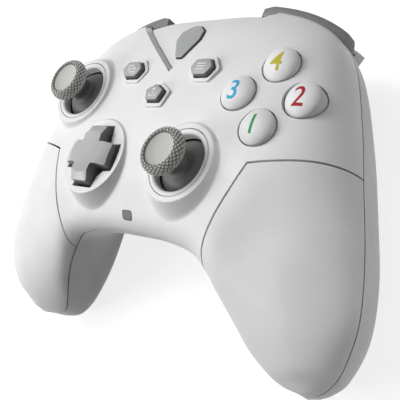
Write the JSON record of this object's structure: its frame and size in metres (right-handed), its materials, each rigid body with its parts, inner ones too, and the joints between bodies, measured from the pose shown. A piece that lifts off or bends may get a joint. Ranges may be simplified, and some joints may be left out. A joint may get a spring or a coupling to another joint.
{
  "type": "gamepad controller",
  "caption": "Handheld game controller: moulded horseshoe housing with thumbsticks, directional pad, domed face buttons, hinged bumpers and sprung triggers.",
  "frame": {"origin": "centre of the part's box, at the level of the lowest point of the grips", "axes": "+X to the right along the width, +Y towards the bumpers, +Z out of the face"},
  "size_m": [0.1482, 0.1098, 0.0596],
  "materials": {
    "white_shell": "satin white moulded plastic",
    "white_grip": "white moulded plastic with a fine grain",
    "white_back": "white moulded plastic",
    "white_gloss": "glossy white plastic",
    "grey_button": "mid grey plastic",
    "grey_pad": "grey plastic with a metallic sheen",
    "stick_rubber": "grey soft-touch rubber",
    "dark_grey": "dark grey plastic",
    "smoked_light": "smoked light pipe",
    "pad_rubber": "silicone rubber",
    "board": "green solder mask",
    "battery_film": "wrapped cell",
    "inner_plastic": "black moulded plastic",
    "steel": "plain steel"
  },
  "bodies": {
    "housing": {"front_shell": "white_shell", "rear_shell": "white_back", "left_grip_panel": "white_grip", "right_grip_panel": "white_grip", "top_panel": "white_shell", "left_stick_ring": "white_shell", "right_stick_ring": "white_shell", "status_light": "smoked_light", "dpad_post": "steel", "button_pad": "pad_rubber", "dpad_pad": "pad_rubber", "left_stick_housing": "steel", "right_stick_housing": "steel", "stick_sensors": "inner_plastic", "trigger_pins": "steel", "left_trigger_spring": "steel", "right_trigger_spring": "steel", "left_shoulder_bracket": "inner_plastic", "right_shoulder_bracket": "inner_plastic", "bumper_switches": "inner_plastic", "main_board": "board", "usb_socket": "steel", "battery": "battery_film", "left_motor": "steel", "right_motor": "steel", "shell_screws": "steel"},
    "south_button": {"south_button": "white_gloss"},
    "east_button": {"east_button": "white_gloss"},
    "west_button": {"west_button": "white_gloss"},
    "north_button": {"north_button": "white_gloss"},
    "home_button": {"home_button": "grey_button"},
    "view_button": {"view_button": "grey_button"},
    "menu_button": {"menu_button": "grey_button"},
    "share_button": {"share_button": "grey_button"},
    "dpad_base": {"dpad_base": "inner_plastic"},
    "dpad": {"dpad": "grey_pad"},
    "left_bumper": {"left_bumper": "dark_grey"},
    "right_bumper": {"right_bumper": "dark_grey"},
    "left_trigger": {"left_trigger": "dark_grey"},
    "right_trigger": {"right_trigger": "dark_grey"},
    "left_weight": {"left_weight": "steel"},
    "right_weight": {"right_weight": "steel"},
    "left_stick_rocker": {"left_stick_rocker": "inner_plastic"},
    "left_stick_pin": {"left_stick_pin": "steel"},
    "left_stick_arch": {"left_stick_arch": "inner_plastic"},
    "left_stick": {"left_stick_cap": "stick_rubber", "left_stick_lever": "steel"},
    "right_stick_rocker": {"right_stick_rocker": "inner_plastic"},
    "right_stick_pin": {"right_stick_pin": "steel"},
    "right_stick_arch": {"right_stick_arch": "inner_plastic"},
    "right_stick": {"right_stick_cap": "stick_rubber", "right_stick_lever": "steel"}
  },
  "joints": [
    {"name": "south_press", "type": "slide", "parent": "housing", "child": "south_button", "axis": [0, 0, -1], "range_m": [0, 0.001], "stiffness_N_per_m": 40, "springref_m": -0.001},
    {"name": "east_press", "type": "slide", "parent": "housing", "child": "east_button", "axis": [0, 0, -1], "range_m": [0, 0.001], "stiffness_N_per_m": 40, "springref_m": -0.001},
    {"name": "west_press", "type": "slide", "parent": "housing", "child": "west_button", "axis": [0, 0, -1], "range_m": [0, 0.001], "stiffness_N_per_m": 40, "springref_m": -0.001},
    {"name": "north_press", "type": "slide", "parent": "housing", "child": "north_button", "axis": [0, 0, -1], "range_m": [0, 0.001], "stiffness_N_per_m": 40, "springref_m": -0.001},
    {"name": "home_press", "type": "slide", "parent": "housing", "child": "home_button", "axis": [0, 0, -1], "range_m": [0, 0.0006], "stiffness_N_per_m": 15, "springref_m": -0.001},
    {"name": "view_press", "type": "slide", "parent": "housing", "child": "view_button", "axis": [0, 0, -1], "range_m": [0, 0.0006], "stiffness_N_per_m": 15, "springref_m": -0.001},
    {"name": "menu_press", "type": "slide", "parent": "housing", "child": "menu_button", "axis": [0, 0, -1], "range_m": [0, 0.0006], "stiffness_N_per_m": 15, "springref_m": -0.001},
    {"name": "share_press", "type": "slide", "parent": "housing", "child": "share_button", "axis": [0, 0, -1], "range_m": [0, 0.0006], "stiffness_N_per_m": 15, "springref_m": -0.001},
    {"name": "dpad_pitch", "type": "hinge", "parent": "housing", "child": "dpad_base", "pos_m": [-0.0177, -0.0059, 0.04392], "axis": [1, 0, 0], "range_deg": [-4, 4], "stiffness_Nm_per_rad": 0.003},
    {"name": "dpad_roll", "type": "hinge", "parent": "dpad_base", "child": "dpad", "pos_m": [-0.0177, -0.0059, 0.04392], "axis": [0, 1, 0], "range_deg": [-4, 4], "stiffness_Nm_per_rad": 0.003},
    {"name": "left_stick_roll", "type": "hinge", "parent": "housing", "child": "left_stick_rocker", "pos_m": [-0.0376, 0.018, 0.04043], "axis": [0, 1, 0], "range_deg": [-15, 15], "stiffness_Nm_per_rad": 0.008},
    {"name": "left_stick_pitch", "type": "hinge", "parent": "left_stick_rocker", "child": "left_stick_pin", "pos_m": [-0.0376, 0.018, 0.04043], "axis": [1, 0, 0], "range_deg": [-15, 15], "stiffness_Nm_per_rad": 0.008},
    {"name": "left_stick_click", "type": "slide", "parent": "left_stick_pin", "child": "left_stick", "axis": [0, 0, -1], "range_m": [0, 0.0005], "stiffness_N_per_m": 60, "springref_m": -0.001},
    {"name": "left_stick_arch_pitch", "type": "hinge", "parent": "housing", "child": "left_stick_arch", "pos_m": [-0.0376, 0.018, 0.04043], "axis": [1, 0, 0], "range_deg": [-15, 15]},
    {"name": "right_stick_roll", "type": "hinge", "parent": "housing", "child": "right_stick_rocker", "pos_m": [0.0191, -0.0055, 0.04043], "axis": [0, 1, 0], "range_deg": [-15, 15], "stiffness_Nm_per_rad": 0.008},
    {"name": "right_stick_pitch", "type": "hinge", "parent": "right_stick_rocker", "child": "right_stick_pin", "pos_m": [0.0191, -0.0055, 0.04043], "axis": [1, 0, 0], "range_deg": [-15, 15], "stiffness_Nm_per_rad": 0.008},
    {"name": "right_stick_click", "type": "slide", "parent": "right_stick_pin", "child": "right_stick", "axis": [0, 0, -1], "range_m": [0, 0.0005], "stiffness_N_per_m": 60, "springref_m": -0.001},
    {"name": "right_stick_arch_pitch", "type": "hinge", "parent": "housing", "child": "right_stick_arch", "pos_m": [0.0191, -0.0055, 0.04043], "axis": [1, 0, 0], "range_deg": [-15, 15]},
    {"name": "left_bumper_press", "type": "hinge", "parent": "housing", "child": "left_bumper", "pos_m": [-0.02245, 0.04467, 0.03492], "axis": [0, 0, 1], "range_deg": [0, 2.5], "stiffness_Nm_per_rad": 0.03, "springref_deg": -5.73},
    {"name": "right_bumper_press", "type": "hinge", "parent": "housing", "child": "right_bumper", "pos_m": [0.02245, 0.04467, 0.03492], "axis": [0, 0, -1], "range_deg": [0, 2.5], "stiffness_Nm_per_rad": 0.03, "springref_deg": -5.73},
    {"name": "left_trigger_pull", "type": "hinge", "parent": "housing", "child": "left_trigger", "pos_m": [-0.03606, 0.03998, 0.02523], "axis": [-0.9342, -0.3567, 0], "range_deg": [0, 14], "stiffness_Nm_per_rad": 0.02, "springref_deg": -11.46},
    {"name": "right_trigger_pull", "type": "hinge", "parent": "housing", "child": "right_trigger", "pos_m": [0.03606, 0.03998, 0.02523], "axis": [-0.9342, 0.3567, 0], "range_deg": [0, 14], "stiffness_Nm_per_rad": 0.02, "springref_deg": -11.46},
    {"name": "left_weight_spin", "type": "hinge", "parent": "housing", "child": "left_weight", "pos_m": [-0.0515, 0.0028, 0.02193], "axis": [0, -1, 0], "continuous": true},
    {"name": "right_weight_spin", "type": "hinge", "parent": "housing", "child": "right_weight", "pos_m": [0.0515, 0.0028, 0.02193], "axis": [0, -1, 0], "continuous": true}
  ],
  "couplings": [
    {"joint": "left_stick_arch_pitch", "follows": "left_stick_pitch", "ratio": 1},
    {"joint": "right_stick_arch_pitch", "follows": "right_stick_pitch", "ratio": 1}
  ]
}
